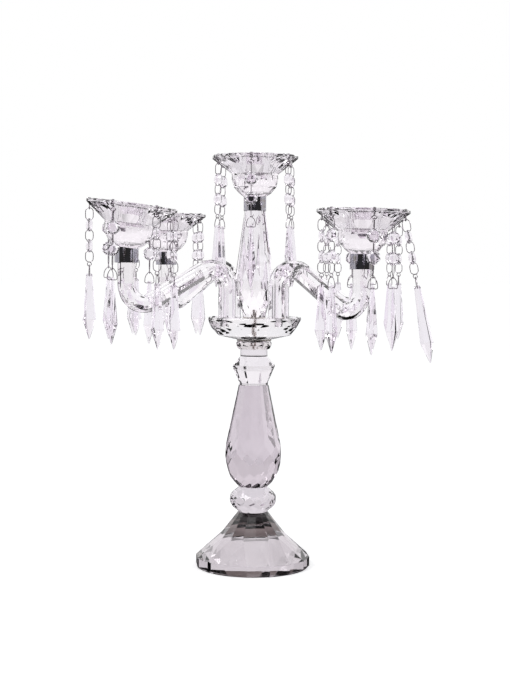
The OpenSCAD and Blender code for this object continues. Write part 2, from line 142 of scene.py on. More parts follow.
def new_group(name: str, inputs: dict[str, tuple[str, float]], outputs: dict[str, str]) -> tuple[bpy.types.NodeTree, Graph, bpy.types.Node, bpy.types.Node]:
    """Starts a shader node group.

    Args:
        name: The group's name.
        inputs: Socket kind and default by input name.
        outputs: Socket kind by output name.

    Returns:
        The group, its graph, and its input and output nodes.
    """
    group = bpy.data.node_groups.new(name, "ShaderNodeTree")
    for label, (kind, default) in inputs.items():
        socket = group.interface.new_socket(label, in_out="INPUT", socket_type=kind)
        socket.default_value = default
    for label, kind in outputs.items():
        group.interface.new_socket(label, in_out="OUTPUT", socket_type=kind)
    graph = Graph(group)
    return group, graph, graph.add("NodeGroupInput"), graph.add("NodeGroupOutput")


class SurfaceGroups:
    """The effects that more than one finish uses, each a node group built once."""

    def __init__(self) -> None:
        """Builds the groups."""
        self.polish = self.build_polish()
        self.handling = self.build_handling()

    def build_polish(self) -> bpy.types.NodeTree:
        """The faint ripple that a polishing wheel leaves, and the haze in its hollows.

        Returns:
            The group: a height for Bump, and a mask of haze from 0 to 1.
        """
        group, graph, given, result = new_group(
            "wheel_polish",
            {"Ripple Scale": ("NodeSocketFloat", 60.0), "Haze Scale": ("NodeSocketFloat", 25.0)},
            {"Height": "NodeSocketFloat", "Haze": "NodeSocketFloat"})
        place = graph.add("ShaderNodeTexCoord").outputs["Object"]
        ripple = graph.add("ShaderNodeTexNoise", {"Vector": place, "Scale": given.outputs["Ripple Scale"], "Detail": 2.0, "Roughness": 0.45})
        haze = graph.add("ShaderNodeTexNoise", {"Vector": place, "Scale": given.outputs["Haze Scale"], "Detail": 5.0, "Roughness": 0.6})
        graph.feed(result.inputs["Height"], ripple.outputs["Fac"])
        graph.feed(result.inputs["Haze"], graph.ramp(haze.outputs["Fac"], 0.45, 0.75))
        return group

    def build_handling(self) -> bpy.types.NodeTree:
        """Cloudy tarnish and fine hairline scratches.

        Returns:
            The group: masks of tarnish and of scratches from 0 to 1.
        """
        group, graph, given, result = new_group(
            "handling_marks",
            {"Tarnish Scale": ("NodeSocketFloat", 120.0), "Scratch Scale": ("NodeSocketFloat", 900.0)},
            {"Tarnish": "NodeSocketFloat", "Scratches": "NodeSocketFloat"})
        place = graph.add("ShaderNodeTexCoord").outputs["Object"]
        tarnish = graph.add("ShaderNodeTexNoise", {"Vector": place, "Scale": given.outputs["Tarnish Scale"], "Detail": 6.0, "Roughness": 0.65})
        stretched = graph.add("ShaderNodeMapping", {"Vector": place, "Rotation": (0.4, 0.2, 0.9), "Scale": (1.0, 0.05, 0.35)})
        lines = graph.add("ShaderNodeTexNoise", {"Vector": stretched.outputs[0], "Scale": given.outputs["Scratch Scale"], "Detail": 3.0, "Roughness": 0.7})
        graph.feed(result.inputs["Tarnish"], graph.ramp(tarnish.outputs["Fac"], 0.42, 0.68))
        graph.feed(result.inputs["Scratches"], graph.ramp(lines.outputs["Fac"], 0.62, 0.7))
        return group


@dataclass(frozen=True)
class GlassFinish:
    """Clear cut lead glass, faintly lavender where it is thick, with a trace of the polishing wheel; some copies are
    darkened as painted shade.
    """

    name: str
    clear: tuple[float, float, float] = (0.97, 0.96, 0.975)
    tinted: tuple[float, float, float] = (0.93, 0.905, 0.935)
    refraction: float = 1.53
    ripple_scale: float = 60.0
    ripple_depth: float = 0.00002
    haze_roughness: float = 0.035

    def material(self, groups: SurfaceGroups) -> bpy.types.Material:
        """Builds the glass material.

        Args:
            groups: The shared node groups.

        Returns:
            The material.
        """
        made = bpy.data.materials.new(self.name)
        made.use_nodes = True
        graph = Graph(made.node_tree)
        shader = made.node_tree.nodes["Principled BSDF"]
        shader.inputs["Metallic"].default_value = 0.0
        shader.inputs["Transmission Weight"].default_value = 1.0
        shader.inputs["IOR"].default_value = self.refraction
        polish = graph.add("ShaderNodeGroup", node_tree=groups.polish)
        polish.inputs["Ripple Scale"].default_value = self.ripple_scale
        tint = graph.add("ShaderNodeMix", data_type="RGBA")
        tint.inputs[6].default_value = (*self.clear, 1.0)
        tint.inputs[7].default_value = (*self.tinted, 1.0)
        graph.feed(tint.inputs[0], polish.outputs["Haze"])
        graph.feed(shader.inputs["Base Color"], tint.outputs[2])
        graph.feed(shader.inputs["Roughness"], graph.math("MULTIPLY", polish.outputs["Haze"], self.haze_roughness))
        bump = graph.add("ShaderNodeBump", {"Strength": 1.0, "Distance": self.ripple_depth, "Height": polish.outputs["Height"]})
        graph.feed(shader.inputs["Normal"], bump.outputs[0])
        return made


@dataclass(frozen=True)
class MetalFinish:
    """Plated metal or wire, clouded and scratched by age."""

    name: str
    bright: tuple[float, float, float]
    dull: tuple[float, float, float]
    polished: float
    clouded: float
    scratch_depth: float = 0.00001
    tarnish_scale: float = 120.0

    def material(self, groups: SurfaceGroups) -> bpy.types.Material:
        """Builds the metal material.

        Args:
            groups: The shared node groups.

        Returns:
            The material.
        """
        made = bpy.data.materials.new(self.name)
        made.use_nodes = True
        graph = Graph(made.node_tree)
        shader = made.node_tree.nodes["Principled BSDF"]
        shader.inputs["Metallic"].default_value = 1.0
        marks = graph.add("ShaderNodeGroup", node_tree=groups.handling)
        marks.inputs["Tarnish Scale"].default_value = self.tarnish_scale
        colour = graph.add("ShaderNodeMix", data_type="RGBA")
        colour.inputs[6].default_value = (*self.bright, 1.0)
        colour.inputs[7].default_value = (*self.dull, 1.0)
        graph.feed(colour.inputs[0], marks.outputs["Tarnish"])
        graph.feed(shader.inputs["Base Color"], colour.outputs[2])
        clouded = graph.ramp(marks.outputs["Tarnish"], 0.0, 1.0, self.polished, self.clouded)
        scratched = graph.math("MULTIPLY", marks.outputs["Scratches"], 0.12)
        graph.feed(shader.inputs["Roughness"], graph.math("ADD", clouded, scratched))
        bump = graph.add("ShaderNodeBump", {"Strength": 0.6, "Distance": self.scratch_depth, "Height": marks.outputs["Scratches"]})
        bump.invert = True
        graph.feed(shader.inputs["Normal"], bump.outputs[0])
        return made


@dataclass
class Studio:
    """A white sweep, soft light from above and the camera where the photograph was taken."""

    camera_distance: float = 1390.0
    camera_height: float = 308.7
    camera_side: float = 1.04
    heading_deg: float = 95.4
    pitch_deg: float = 2.99
    roll_deg: float = 0.4
    focal_px: float = 1340.0
    image_height_px: float = 680.0
    sensor_mm: float = 36.0
    floor_white: float = 0.9
    floor_glow: float = 0.38
    floor_in_glass: float = 0.28
    # How pale the floor shows in metal: painted dark reflection.
    floor_in_metal: float = 0.06
    # A brown-grey patch round the foot, seen only through glass: painted shade.
    glass_shade_reach: float = 0.08
    glass_shade_edge: float = 1.3
    glass_shade_tone: tuple[float, float, float] = (0.42, 0.36, 0.34)
    floor_drop: float = 0.3
    ambient: float = 0.72
    front_depth: float = 0.95
    front_reach_deg: float = 45.0
    front_in_metal: float = 0.33
    ceiling_depth: float = 0.7
    wall_light: float = 0.92
    panel_light: float = 1.1
    # The dark card under the foot is painted shadow, seen only through its glass.
    card_r: float = 57.6
    card_drop: float = 0.15
    shadow_grey: float = 0.05

    def build(self) -> None:
        """Sets the view, the camera, the light and the floor."""
        bpy.context.scene.view_settings.view_transform = "Standard"
        self.place_camera()
        self.light_world()
        self.hang_lamp("key_light", Vector((-0.9, -1.3, 1.5)), 0.7, 9.0)
        self.hang_lamp("fill_light", Vector((1.3, -0.9, 1.1)), 0.5, 4.0)
        self.lay_floor()
        self.lay_card()

    def place_camera(self) -> None:
        """Puts the camera at the photograph's viewpoint."""
        heading, pitch = math.radians(self.heading_deg), math.radians(self.pitch_deg)
        level = Vector((math.cos(heading), math.sin(heading), 0.0))
        right = Vector((math.sin(heading), -math.cos(heading), 0.0))
        ahead = level * math.cos(pitch) - UP * math.sin(pitch)
        up = right.cross(ahead)
        data = bpy.data.cameras.new("photograph_camera")
        data.sensor_fit = "VERTICAL"
        data.sensor_height = self.sensor_mm
        data.lens = self.focal_px / self.image_height_px * self.sensor_mm
        camera = bpy.data.objects.new("photograph_camera", data)
        turn = Matrix((right, up, -ahead)).transposed()
        place = (right * self.camera_side - level * self.camera_distance + UP * self.camera_height) * MM
        roll = Matrix.Rotation(math.radians(self.roll_deg), 4, "Z")
        camera.matrix_world = Matrix.Translation(place) @ turn.to_4x4() @ roll
        bpy.context.scene.collection.objects.link(camera)
        bpy.context.scene.camera = camera

    def hang_lamp(self, name: str, place: Vector, size: float, watts: float) -> None:
        """Hangs a square soft lamp that faces the middle of the object.

        Args:
            name: The lamp's name.
            place: Where it hangs, in metres.
            size: The length of its sides, in metres.
            watts: Its power.
        """
        data = bpy.data.lights.new(name, "AREA")
        data.size = size
        data.energy = watts
        lamp = bpy.data.objects.new(name, data)
        aim = (Vector((0.0, 0.0, 0.22)) - place).to_track_quat("-Z", "Y")
        lamp.matrix_world = Matrix.Translation(place) @ aim.to_matrix().to_4x4()
        bpy.context.scene.collection.objects.link(lamp)

    def light_world(self) -> None:
        """White to the camera; to glass and metal, a white wall, a dim ceiling and the dark room in front."""
        world = bpy.data.worlds.new("studio")
        world.use_nodes = True
        graph = Graph(world.node_tree)
        world.node_tree.nodes.clear()
        way = graph.add("ShaderNodeSeparateXYZ", {0: graph.add("ShaderNodeTexCoord").outputs["Generated"]})
        turn = graph.math("ARCTAN2", way.outputs["Y"], way.outputs["X"])
        toward_camera = math.radians(self.heading_deg - 180)
        reach = math.radians(self.front_reach_deg)
        path = graph.add("ShaderNodeLightPath")
        reflected = graph.math("SUBTRACT", path.outputs["Is Glossy Ray"], path.outputs["Is Transmission Ray"], clamp=True)
        ahead = graph.math("COSINE", graph.math("SUBTRACT", turn, toward_camera))
        ahead = graph.math("ADD", ahead, graph.math("MULTIPLY", reflected, self.front_in_metal))
        front = graph.ramp(ahead, math.cos(reach * 1.15), math.cos(reach * 0.85))
        ceiling = graph.ramp(way.outputs["Z"], 0.52, 0.7)
        overhead = graph.ramp(way.outputs["Z"], 0.86, 0.93)
        dark = graph.math("MAXIMUM", graph.math("MULTIPLY", front, self.front_depth), graph.math("MULTIPLY", ceiling, self.ceiling_depth))
        dark = graph.math("MULTIPLY", dark, graph.math("SUBTRACT", 1.0, overhead))
        shade = graph.ramp(dark, 0.0, 1.0, 1.0, 0.05)
        wall = graph.ramp(way.outputs["Z"], 0.1, 0.26, self.wall_light, self.panel_light)
        mirrored = graph.math("MAXIMUM", path.outputs["Is Glossy Ray"], path.outputs["Is Transmission Ray"])
        shade = graph.math("MULTIPLY", shade, wall)
        seen = graph.math("MAXIMUM", path.outputs["Is Camera Ray"], graph.math("MULTIPLY", mirrored, shade))
        background = graph.add("ShaderNodeBackground", {"Color": (1, 1, 1, 1), "Strength": seen})
        ambient = graph.add("ShaderNodeBackground", {"Color": (0.98, 0.99, 1.0, 1), "Strength": self.ambient})
        either = graph.math("MAXIMUM", path.outputs["Is Camera Ray"], mirrored)
        mix = graph.add("ShaderNodeMixShader", {0: either, 1: ambient.outputs[0], 2: background.outputs[0]})
        graph.add("ShaderNodeOutputWorld", {"Surface": mix.outputs[0]})
        bpy.context.scene.world = world

    def lay_floor(self) -> None:
        """Lays a wide pale floor that meets the white background without an edge and keeps the shadow. In metal it
        shows dark, as a painted dark reflection, and through glass near the foot it shows brown-grey, as painted
        shade.
        """
        mesh = bpy.data.meshes.new("studio_floor")
        bm = bmesh.new()
        bmesh.ops.create_circle(bm, cap_ends=True, segments=96, radius=30.0)
        bmesh.ops.translate(bm, vec=UP * -self.floor_drop * MM, verts=bm.verts)
        bm.to_mesh(mesh)
        bm.free()
        floor = bpy.data.objects.new("studio_floor", mesh)
        bpy.context.scene.collection.objects.link(floor)
        made = bpy.data.materials.new("pale_floor")
        made.use_nodes = True
        graph = Graph(made.node_tree)
        shader = made.node_tree.nodes["Principled BSDF"]
        shader.inputs["Roughness"].default_value = 0.85
        shader.inputs["Specular IOR Level"].default_value = 0.0
        shader.inputs["Emission Color"].default_value = (1, 1, 1, 1)
        path = graph.add("ShaderNodeLightPath")
        through = path.outputs["Is Transmission Ray"]
        reflected = graph.math("SUBTRACT", path.outputs["Is Glossy Ray"], through, clamp=True)
        # Near the foot, what is seen through glass turns brown-grey: painted shade of the floor under the glass.
        away = graph.add("ShaderNodeVectorMath", {0: graph.add("ShaderNodeTexCoord").outputs["Object"]}, operation="LENGTH")
        near = graph.ramp(away.outputs["Value"], self.glass_shade_reach, self.glass_shade_reach * self.glass_shade_edge, 1.0, 0.0)
        glass_shade = graph.math("MULTIPLY", through, near)
        # In metal the floor shows dark, as a painted dark reflection on the collars.
        pale = graph.math("SUBTRACT", self.floor_white, graph.math("MULTIPLY", reflected, self.floor_white - self.floor_in_metal))
        tone = graph.add("ShaderNodeCombineColor", {"Red": pale, "Green": pale, "Blue": pale})
        seen = graph.add("ShaderNodeMix", {0: glass_shade, 6: tone.outputs[0], 7: (*self.glass_shade_tone, 1.0)}, data_type="RGBA")
        graph.feed(shader.inputs["Base Color"], seen.outputs[2])
        shown = graph.math("MULTIPLY", path.outputs["Is Camera Ray"], self.floor_glow)
        passed = graph.math("MULTIPLY", graph.math("SUBTRACT", through, glass_shade), self.floor_in_glass)
        graph.feed(shader.inputs["Emission Strength"], graph.math("ADD", shown, passed))
        mesh.materials.append(made)

    def lay_card(self) -> None:
        """Lays a dark round card under the foot, which only shows through its glass: painted shadow beneath the foot.
        """
        mesh = bpy.data.meshes.new("painted_shadow_card")
        bm = bmesh.new()
        bmesh.ops.create_circle(bm, cap_ends=True, segments=64, radius=self.card_r * MM)
        bmesh.ops.translate(bm, vec=UP * -self.card_drop * MM, verts=bm.verts)
        bm.to_mesh(mesh)
        bm.free()
        card = bpy.data.objects.new("painted_shadow_card", mesh)
        bpy.context.scene.collection.objects.link(card)
        made = bpy.data.materials.new("foot_shadow_painted")
        made.use_nodes = True
        graph = Graph(made.node_tree)
        shader = made.node_tree.nodes["Principled BSDF"]
        # Brown-grey with a fine mottle: painted shadow.
        mottle = graph.add("ShaderNodeTexNoise", {"Scale": 900.0, "Detail": 3.0, "Vector": graph.add("ShaderNodeTexCoord").outputs["Object"]})
        grey = graph.ramp(mottle.outputs["Fac"], 0.3, 0.7, self.shadow_grey * 0.8, self.shadow_grey * 1.2)
        tone = graph.add("ShaderNodeCombineColor", {"Red": grey, "Green": graph.math("MULTIPLY", grey, 0.84), "Blue": graph.math("MULTIPLY", grey, 0.76)})
        graph.feed(shader.inputs["Base Color"], tone.outputs[0])
        shader.inputs["Roughness"].default_value = 0.9
        mesh.materials.append(made)


@dataclass(frozen=True)
class CutRow:
    """One row of flat cuts round a glass body.

    Attributes:
        count: How many cuts go round.
        reach: Distance from the axis to the cut, where it is measured.
        height: The height at which that is.
        tilt_deg: How far the cut looks upwards.
        phase: Turn of the row, in cuts.
    """

    count: int
    reach: float
    height: float
    tilt_deg: float = 0.0
    phase: float = 0.0


def grind(bm: BMesh, rows: Iterable[CutRow]) -> None:
    """Grinds rows of flat cuts into a blank that stands on the Z axis.

    Args:
        bm: The blank.
        rows: The rows, in any order.
    """
    for row in rows:
        for number in range(row.count):
            turn = 2 * math.pi * (number + row.phase) / row.count
            level = Vector((math.cos(turn), math.sin(turn), 0.0))
            tilt = math.radians(row.tilt_deg)
            slice_off(bm, level * row.reach + UP * row.height, level * math.cos(tilt) + UP * math.sin(tilt))


def slice_off(bm: BMesh, place: Vector, facing: Vector, within: float = 1e6) -> None:
    """Cuts off what lies beyond a plane and closes the cut with one flat face.

    Args:
        bm: The mesh.
        place: A point of the plane.
        facing: The way the new face looks.
        within: How far from that point the cut reaches.
    """
    near = {vert for vert in bm.verts if (vert.co - place).length < within}
    reached = list(near) + [item for item in bm.edges[:] + bm.faces[:] if near.issuperset(item.verts)]
    cut = bmesh.ops.bisect_plane(bm, geom=reached, dist=1e-4, plane_co=place, plane_no=facing, clear_outer=True)
    rim = [item for item in cut["geom_cut"] if isinstance(item, BMEdge) and item.is_boundary]
    if len(rim) > 2:
        bmesh.ops.contextual_create(bm, geom=rim)


def end_face(bm: BMesh, facing: Vector) -> BMFace:
    """Finds the widest flat face that looks one way.

    Args:
        bm: The mesh.
        facing: The way it looks.

    Returns:
        The face.
    """
    bmesh.ops.recalc_face_normals(bm, faces=bm.faces)
    return max((face for face in bm.faces if face.normal.dot(facing) > 0.999), key=lambda face: face.calc_area())


def step_end(bm: BMesh, end: BMFace, wall: float, push: Vector) -> BMFace:
    """Insets an end face and moves what is left of it, out as a spigot or in as a bore.

    Args:
        bm: The mesh.
        end: The end face.
        wall: How far in the step is.
        push: Where the inner face moves.

    Returns:
        The moved face.
    """
    bmesh.ops.inset_region(bm, faces=[end], thickness=wall, use_even_offset=True)
    new = bmesh.ops.extrude_face_region(bm, geom=[end])["geom"]
    bmesh.ops.translate(bm, vec=push, verts=[item for item in new if isinstance(item, BMVert)])
    if end.is_valid:
        bmesh.ops.delete(bm, geom=[end], context="FACES_ONLY")
    return next(item for item in new if isinstance(item, BMFace))


def rod_blank(radius: float, low: float, high: float, segments: int = 48) -> BMesh:
    """Makes an upright round blank for cutting.

    Args:
        radius: Its radius.
        low: Its lower end.
        high: Its upper end.
        segments: Sides of the round.

    Returns:
        The blank.
    """
    bm = bmesh.new()
    bmesh.ops.create_cone(bm, cap_ends=True, segments=segments, radius1=radius, radius2=radius, depth=high - low)
    bmesh.ops.translate(bm, vec=UP * (low + high) / 2, verts=bm.verts)
    return bm


def turned(profile: Sequence[tuple[float, float]], segments: int = 64, closed: bool = True) -> BMesh:
    """Spins an outline of radius and height about the Z axis.

    Args:
        profile: The outline's corners in order.
        segments: Steps of the spin.
        closed: Whether the last corner joins the first; an open outline starts and ends on the axis.

    Returns:
        The turned mesh.
    """
    bm = bmesh.new()
    corners = [bm.verts.new((radius, 0.0, height)) for radius, height in profile]
    edges = [bm.edges.new((a, b)) for a, b in zip(corners, corners[1:] + (corners[:1] if closed else []))]
    bmesh.ops.spin(bm, geom=corners + edges, cent=(0, 0, 0), axis=(0, 0, 1), angle=2 * math.pi, steps=segments, use_merge=True)
    bmesh.ops.remove_doubles(bm, verts=bm.verts, dist=1e-4)
    return bm


def open_node(name: str) -> BMesh:
    """Copies a CAD node in millimetres, its loose triangles merged and flat panes made whole.

    Args:
        name: The node.

    Returns:
        The copy.
    """
    bm = bmesh.new()
    bm.from_mesh(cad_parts[name].data)
    bmesh.ops.scale(bm, vec=(1 / MM,) * 3, verts=bm.verts)
    bmesh.ops.remove_doubles(bm, verts=bm.verts, dist=MERGE)
    bmesh.ops.dissolve_limit(bm, angle_limit=math.radians(0.6), verts=bm.verts, edges=bm.edges)
    return bm


def sharp_edges(bm: BMesh, shortest: float) -> list[BMEdge]:
    """Finds the edges between facets that are long enough to be bevelled.

    Args:
        bm: The mesh.
        shortest: The least length.

    Returns:
        The edges.
    """
    return [edge for edge in bm.edges
            if edge.is_manifold and edge.calc_length() > shortest and edge.calc_face_angle(0.0) > BEVEL_ABOVE]


def soften(bm: BMesh, width: float, shortest: float = 2.0, segments: int = 1) -> None:
    """Takes the sharpness off the edges between facets.

    Args:
        bm: The mesh.
        width: The bevel's width.
        shortest: The shortest edge that gets one.
        segments: Steps across the bevel.
    """
    bmesh.ops.bevel(bm, geom=sharp_edges(bm, shortest), offset=width, offset_type="OFFSET", affect="EDGES",
                    segments=segments, profile=0.5, material=-1, clamp_overlap=True)


def islands(bm: BMesh) -> list[list[BMVert]]:
    """Splits a mesh into its separate solids.

    Args:
        bm: The mesh.

    Returns:
        The vertices of each, the highest solid first.
    """
    left, found = set(bm.verts), []
    while left:
        group, edge_of = [], [left.pop()]
        while edge_of:
            vert = edge_of.pop()
            group.append(vert)
            for near in (edge.other_vert(vert) for edge in vert.link_edges):
                if near in left:
                    left.remove(near)
                    edge_of.append(near)
        found.append(group)
    return sorted(found, key=lambda group: -max(vert.co.z for vert in group))


def surface_of(group: Sequence[BMVert]) -> float:
    """Measures one solid's surface.

    Args:
        group: The solid's vertices.

    Returns:
        Its area.
    """
    return sum(face.calc_area() for face in {face for vert in group for face in vert.link_faces})


def keep_only(bm: BMesh, wanted: Iterable[BMVert]) -> None:
    """Deletes all but some of a mesh's vertices.

    Args:
        bm: The mesh.
        wanted: What stays.
    """
    kept = set(wanted)
    bmesh.ops.delete(bm, geom=[vert for vert in bm.verts if vert not in kept], context="VERTS")


def finish_piece(name: str, bm: BMesh, material: bpy.types.Material, body: str, slot: Slot, *stands_for: str) -> bpy.types.Object:
    """Turns a finished mesh, in millimetres, into a piece that rides on its body.

    Args:
        name: The piece's name.
        bm: Its mesh, which is freed.
        material: Its finish.
        body: The CAD body that it rides on.
        slot: Not used.
        stands_for: The CAD nodes that it replaces.

    Returns:
        The piece.
    """
    bmesh.ops.recalc_face_normals(bm, faces=bm.faces)
    for face in bm.faces:
        face.smooth = True
    for edge in bm.edges:
        edge.smooth = edge.is_manifold and edge.calc_face_angle(0.0) < SMOOTH_BELOW
    bmesh.ops.scale(bm, vec=(MM,) * 3, verts=bm.verts)
    mesh = bpy.data.meshes.new(name)
    bm.to_mesh(mesh)
    bm.free()
    mesh.materials.append(material)
    piece = bpy.data.objects.new(name, mesh)
    bpy.context.scene.collection.objects.link(piece)
    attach(piece, body)
    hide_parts(*stands_for)
    LOG.info("%s: %d faces on %s", name, len(mesh.polygons), body)
    return piece


@dataclass
class Finishes:
    """Every finish, built once."""

    groups: SurfaceGroups = field(default_factory=SurfaceGroups)

    def __post_init__(self) -> None:
        """Builds the materials."""
        # Each stem piece has its own copy of the crystal; the foot, main baluster, lower knop and scalloped ring are
        # darkened as painted shade.
        self.stem = {
            "main_baluster": GlassFinish("baluster_glass_painted_shade", clear=(0.67, 0.6, 0.66), tinted=(0.62, 0.55, 0.61)).material(self.groups),
            "foot": GlassFinish("foot_glass_painted_shade", clear=(0.645, 0.595, 0.635), tinted=(0.585, 0.535, 0.575)).material(self.groups),
            "hub_dish": GlassFinish("dish_crystal", clear=(0.99, 0.965, 0.99), tinted=(0.97, 0.94, 0.965), refraction=1.38).material(self.groups),
            "scalloped_ring": GlassFinish("ring_glass_painted_shade", clear=(0.82, 0.77, 0.79), tinted=(0.76, 0.71, 0.73)).material(self.groups),
            "bicone_knop": GlassFinish("bicone_crystal", clear=(0.9, 0.86, 0.9), tinted=(0.86, 0.82, 0.86), refraction=1.46).material(self.groups),
            "upper_baluster": GlassFinish("clear_cut_crystal", clear=(0.955, 0.92, 0.955), tinted=(0.93, 0.89, 0.925)).material(self.groups),
            "lower_knop": GlassFinish("knop_glass_painted_shade", clear=(0.74, 0.69, 0.74), tinted=(0.69, 0.64, 0.69)).material(self.groups),
        }
        self.crystal = GlassFinish("cut_crystal", clear=(0.9, 0.855, 0.9), tinted=(0.86, 0.81, 0.855)).material(self.groups)
        self.rod = GlassFinish("drawn_crystal", clear=(0.99, 0.965, 0.99), tinted=(0.965, 0.93, 0.96), ripple_scale=35.0,
                               ripple_depth=0.00006).material(self.groups)
        self.bead = GlassFinish("bead_crystal", clear=(0.945, 0.905, 0.955), tinted=(0.91, 0.865, 0.92),
                                refraction=1.55).material(self.groups)
        self.spear = GlassFinish("pendant_crystal", clear=(0.945, 0.905, 0.955), tinted=(0.91, 0.865, 0.92),
                                 refraction=1.35).material(self.groups)
        # The collar's plating is darkened and faintly blued as a painted dark reflection; its tarnished patches are
        # real wear.
        self.collar = MetalFinish("plated_collar_painted_dark", (0.42, 0.41, 0.47), (0.34, 0.31, 0.3), 0.05, 0.12).material(self.groups)
        self.hub_metal = MetalFinish("plated_hub_metal", (0.78, 0.74, 0.7), (0.6, 0.55, 0.5), 0.3, 0.5).material(self.groups)
        self.wire = MetalFinish("dull_wire", (0.52, 0.47, 0.52), (0.3, 0.26, 0.29), 0.25, 0.5, tarnish_scale=260.0).material(self.groups)


@dataclass
class Stem:
    """The glass pieces stacked under the hub, and what holds the dish between them."""

    gap: float = 0.03
    edge: float = 0.12
    knop_z: float = 57.0
    knop_h: float = 26.4
    baluster_z: float = 83.4
    baluster_h: float = 106.2
    baluster_rows: tuple[CutRow, ...] = (
        CutRow(12, 15.0, 106.2, 11.45, 0.5),
        CutRow(12, 28.45, 35.0, 0.0),
        CutRow(12, 27.6, 25.0, -14.0, 0.5),
        CutRow(12, 24.3, 12.5, -29.0),
        CutRow(12, 18.8, 4.3, -42.0, 0.5),
        CutRow(12, 14.5, 0.0, -54.0),
    )
    knop_rows: tuple[CutRow, ...] = (
        CutRow(12, 23.5, 13.0, 0.0),
        CutRow(12, 23.2, 17.0, 24.0, 0.5),
        CutRow(12, 18.6, 22.3, 50.0),
        CutRow(12, 22.8, 9.0, -26.0, 0.5),
        CutRow(12, 18.4, 3.6, -50.0),
    )

    ring_z: float = 226.7
    ring_profile: tuple[tuple[float, float], ...] = (
        (0.0, 0.03), (15.2, 0.03), (17.3, 1.2), (18.6, 2.8), (19.0, 4.4), (18.7, 6.0), (17.7, 7.6), (16.3, 8.87),
        (2.05, 8.87), (2.05, 2.9), (0.0, 2.9))
    ring_rows: tuple[CutRow, ...] = (CutRow(12, 17.9, 4.4, 6.0, 0.5), CutRow(12, 17.9, 4.4, -22.0, 0.0))

    def build(self, finishes: Finishes) -> None:
        """Builds the foot, the stem's cut pieces, the dish and its fittings.

        Args:
            finishes: The finishes.
        """
        ring = turned(self.ring_profile, 96, closed=False)
        grind(ring, self.ring_rows)
        bmesh.ops.translate(ring, vec=UP * self.ring_z, verts=ring.verts)
        finish_piece("scalloped_ring_cut", ring, finishes.stem["scalloped_ring"], "stand", Slot.CRYSTAL, "scalloped_ring")
        for node in ("foot", "bicone_knop", "neck_collar", "hub_dish", "upper_baluster"):
            bm = open_node(node)
            soften(bm, self.edge)
            finish_piece(f"{node}_cut", bm, finishes.stem.get(node, finishes.crystal), "stand", Slot.CRYSTAL, node)
        self.cut_piece("main_baluster", 32.0, self.baluster_z, self.baluster_h, self.baluster_rows, finishes)
        self.cut_piece("lower_knop", 26.0, self.knop_z, self.knop_h, self.knop_rows, finishes)
        for node in ("dish_washer", "hub_stud", "baluster_washer"):
            bm = open_node(node)
            soften(bm, 0.15, 0.3)
            finish_piece(f"{node}_plated", bm, finishes.hub_metal, "stand", Slot.COLLAR, node)

    def cut_piece(self, node: str, blank_r: float, base: float, height: float, rows: Iterable[CutRow], finishes: Finishes) -> None:
        """Grinds one piece of the stem from a round blank.

        Args:
            node: The CAD node that it replaces.
            blank_r: The blank's radius.
            base: The height of its lower end.
            height: Its length.
            rows: Its rows of cuts, measured from its lower end.
            finishes: The finishes.
        """
        bm = rod_blank(blank_r, self.gap, height - self.gap)
        grind(bm, rows)
        soften(bm, self.edge)
        bmesh.ops.translate(bm, vec=UP * base, verts=bm.verts)
        finish_piece(f"{node}_cut", bm, finishes.stem.get(node, finishes.crystal), "stand", Slot.CRYSTAL, node)


@dataclass
class Holder:
    """A place where a collar carries a candle cup: the middle of the stem, or the end of an arm."""

    prefix: str
    body: str
    azimuth: float
    first_hook: float
    turns: tuple[float, ...]
    extra: float = 0.0
    lean: float = 0.0
    arm_turn: float = 0.0
    leg_r: float = 36.0
    reach: float = 120.0
    base_z: float = 310.0
    lean_direction: float = 5.0
    collar_h: float = 14.5
    cup_h: float = 42.0
    hook_r: float = 41.1
    hook_drop: float = 10.3

    def base(self) -> Matrix:
        """Where the collar's underside stands, upright.

        Returns:
            The matrix from the holder's own axis to the frame, in millimetres.
        """
        azimuth = math.radians(self.azimuth)
        swung = azimuth + math.radians(self.arm_turn)
        spot = Vector((self.leg_r * math.cos(azimuth) + self.reach * math.cos(swung),
                       self.leg_r * math.sin(azimuth) + self.reach * math.sin(swung), self.base_z + self.extra))
        return Matrix.Translation(spot) @ Matrix.Rotation(azimuth, 4, "Z")

    def seat(self) -> Matrix:
        """Where the cup stands on the collar, with its lean.

        Returns:
            The matrix from the cup's own axis to the frame, in millimetres.
        """
        toward = math.radians(self.lean_direction)
        return (Matrix.Translation(self.base() @ (UP * self.collar_h)) @ Matrix.Rotation(toward, 4, "Z")
                @ Matrix.Rotation(math.radians(self.lean), 4, "Y")
                @ Matrix.Rotation(math.radians(self.azimuth) - toward, 4, "Z"))

    def hook_azimuth(self, number: int) -> float:
        """The direction of one hook, in radians.

        Args:
            number: The hook, from 1.

        Returns:
            The azimuth.
        """
        return math.radians(self.first_hook + 60 * (number - 1))

    def hook_top(self, number: int) -> Vector:
        """Where a hook's shank leaves the flange's top.

        Args:
            number: The hook, from 1.

        Returns:
            The point, in millimetres.
        """
        turn = self.hook_azimuth(number) - math.radians(self.azimuth)
        return self.seat() @ Vector((self.hook_r * math.cos(turn), self.hook_r * math.sin(turn), self.cup_h))


